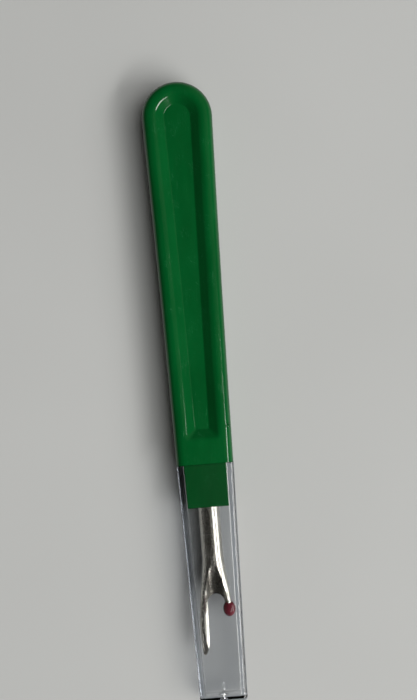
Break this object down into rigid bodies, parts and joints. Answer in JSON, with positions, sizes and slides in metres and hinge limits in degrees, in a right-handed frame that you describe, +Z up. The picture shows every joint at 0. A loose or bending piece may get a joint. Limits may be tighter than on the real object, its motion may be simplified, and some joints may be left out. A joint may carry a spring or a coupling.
{
  "type": "seam ripper",
  "caption": "Capped seam ripper: recessed plastic handle, plated steel fork with a bead on its short prong, and a clear cap that pulls off.",
  "frame": {"origin": "under the middle of the whole capped tool, on the surface it lies on", "axes": "+X along the tool from the butt of the handle to the closed end of the cap, +Y across the handle towards the bead's side, +Z up out of the front face"},
  "size_m": [0.135, 0.0152, 0.009],
  "materials": {
    "green_plastic": "glossy moulded plastic, deep green",
    "plated_steel": "nickel plate over drawn and ground steel",
    "red_plastic": "glossy moulded plastic, dark red",
    "clear_plastic": "clear moulded polystyrene, polished"
  },
  "bodies": {
    "handle_and_fork": {"handle": "green_plastic", "fork_blade": "plated_steel", "safety_ball": "red_plastic"},
    "cap": {"clear_cap": "clear_plastic"}
  },
  "joints": [
    {"name": "cap_pull_off", "type": "slide", "parent": "handle_and_fork", "child": "cap", "axis": [1, 0, 0], "range_m": [0, 0.055]}
  ]
}
